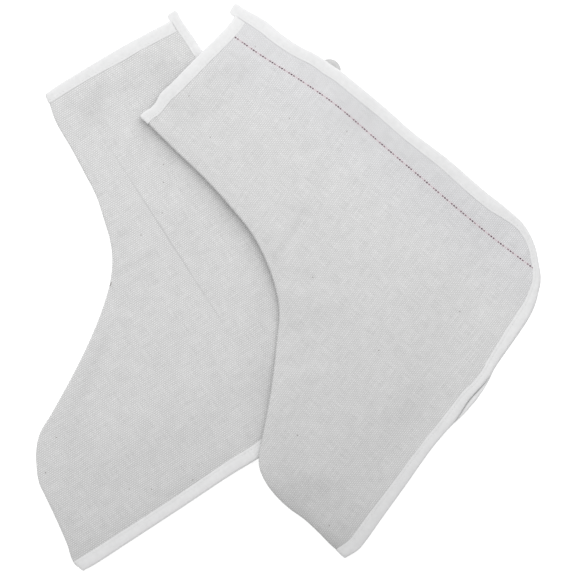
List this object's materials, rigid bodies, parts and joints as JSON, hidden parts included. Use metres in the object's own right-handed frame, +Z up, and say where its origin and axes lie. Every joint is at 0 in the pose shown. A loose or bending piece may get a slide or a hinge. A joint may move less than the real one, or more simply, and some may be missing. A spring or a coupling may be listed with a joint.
{
  "type": "pair of welding boot covers",
  "caption": "Pair of heavy canvas welding boot covers laid flat, one over the other, with folded white tape along the top, back, heel and sole edges and a seam along instep and toe.",
  "frame": {"origin": "on the surface that the pair lies on, under the middle of its outline", "axes": "+Z up from the surface; +Y towards the top openings as laid, -Y towards the toes; +X towards the right cover's heel"},
  "size_m": [0.4288, 0.4814, 0.0169],
  "materials": {
    "canvas": "matt pale grey-white cotton duck, plain weave",
    "tape": "matt white cotton tape, fine twill"
  },
  "bodies": {
    "root": {"left_upper_panel": "canvas", "left_lower_panel": "canvas", "left_seam_allowance": "canvas", "left_top_binding": "tape", "left_long_binding": "tape", "right_upper_panel": "canvas", "right_lower_panel": "canvas", "right_seam_allowance": "canvas", "right_top_binding": "tape", "right_long_binding": "tape", "right_closing_tab": "canvas"}
  },
  "joints": []
}
